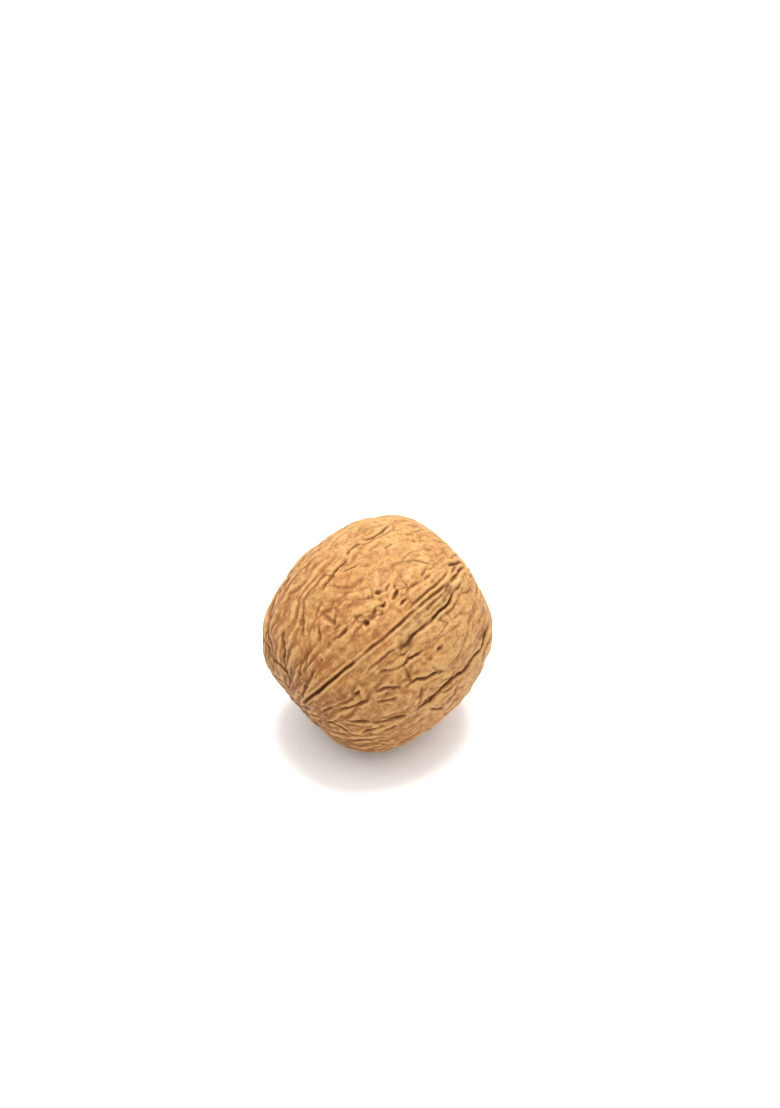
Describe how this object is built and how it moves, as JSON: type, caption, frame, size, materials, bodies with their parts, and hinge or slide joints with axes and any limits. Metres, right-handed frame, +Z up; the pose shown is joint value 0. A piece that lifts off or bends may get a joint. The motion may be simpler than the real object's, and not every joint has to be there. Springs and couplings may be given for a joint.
{
  "type": "walnut in its shell",
  "caption": "Whole dried walnut in its wrinkled woody shell, with a raised seam from stem end to pointed tip, lying on its side on a small flat spot.",
  "frame": {"origin": "on the resting plane, under the middle of the nut's bounding box", "axes": "+Z up from the flat spot it rests on; +X the level direction that the pointed tip leans towards, with the nut's long axis lifted 27 degrees from it; -Y the side that the near seam is rolled towards"},
  "size_m": [0.0406, 0.0366, 0.0393],
  "materials": {
    "shell": "matte tan nutshell with fine dry wrinkles, brown in its furrows and pits"
  },
  "bodies": {
    "root": {"walnut": "shell"}
  },
  "joints": []
}
